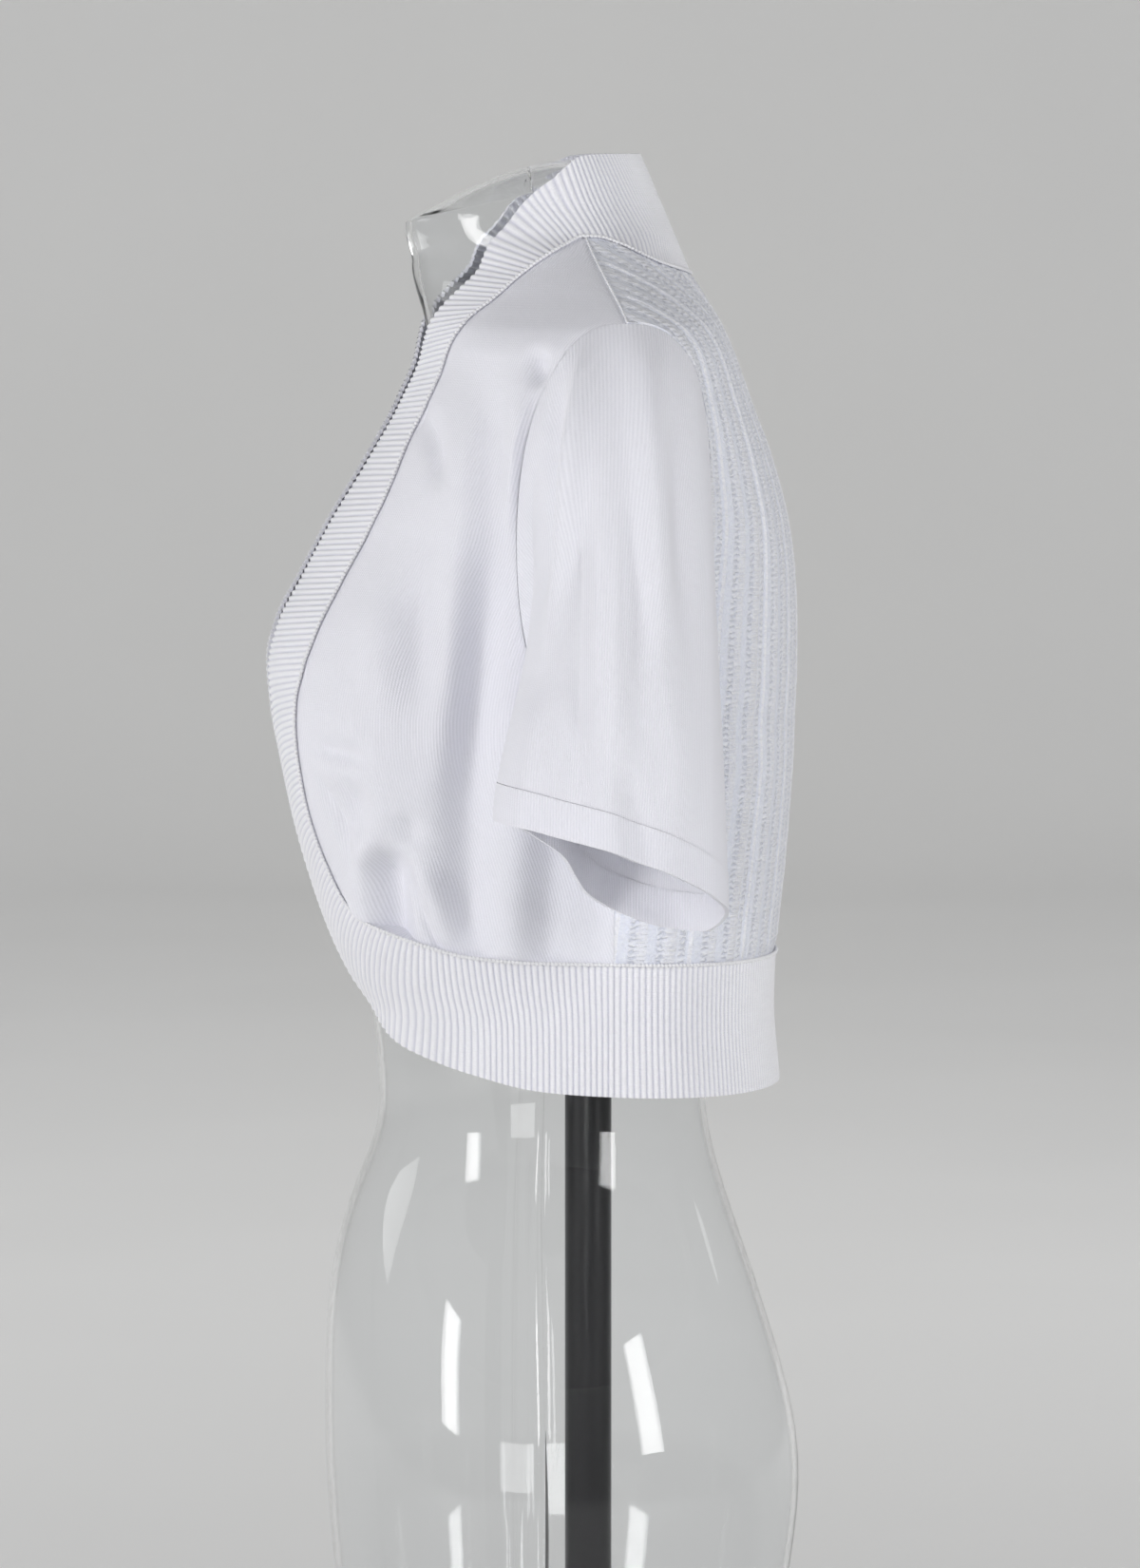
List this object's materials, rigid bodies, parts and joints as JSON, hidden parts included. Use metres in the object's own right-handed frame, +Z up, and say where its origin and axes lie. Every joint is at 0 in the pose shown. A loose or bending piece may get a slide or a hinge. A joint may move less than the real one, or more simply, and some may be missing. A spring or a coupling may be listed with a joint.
{
  "type": "knit bolero on a clear dress form",
  "caption": "Short-sleeved open-front knit bolero with a wide rib collar and hem band, worn by a clear plastic dress form on a round-based pole.",
  "frame": {"origin": "on the floor, in the middle of the round base's underside", "axes": "+Z up along the pole; the front of the bolero faces -Y; +X towards the wearer's left side"},
  "size_m": [0.5246, 0.35, 0.9422],
  "materials": {
    "white_jersey": "smooth fine jersey, matt",
    "pale_lace_knit": "openwork striped knit, matt",
    "white_rib_knit": "fine vertical rib knit, matt",
    "clear_plastic": "clear and glossy",
    "black_lacquer": "satin black"
  },
  "bodies": {
    "root": {"front_left": "white_jersey", "front_right": "white_jersey", "sleeve_left": "white_jersey", "sleeve_right": "white_jersey", "sleeve_hem_left": "white_jersey", "sleeve_hem_right": "white_jersey", "back_panel": "pale_lace_knit", "front_band_left": "white_rib_knit", "front_band_right": "white_rib_knit", "hem_band_back": "white_rib_knit", "form_front": "clear_plastic", "form_back": "clear_plastic", "pole": "black_lacquer", "pole_flange": "black_lacquer", "base_plate": "black_lacquer"}
  },
  "joints": []
}
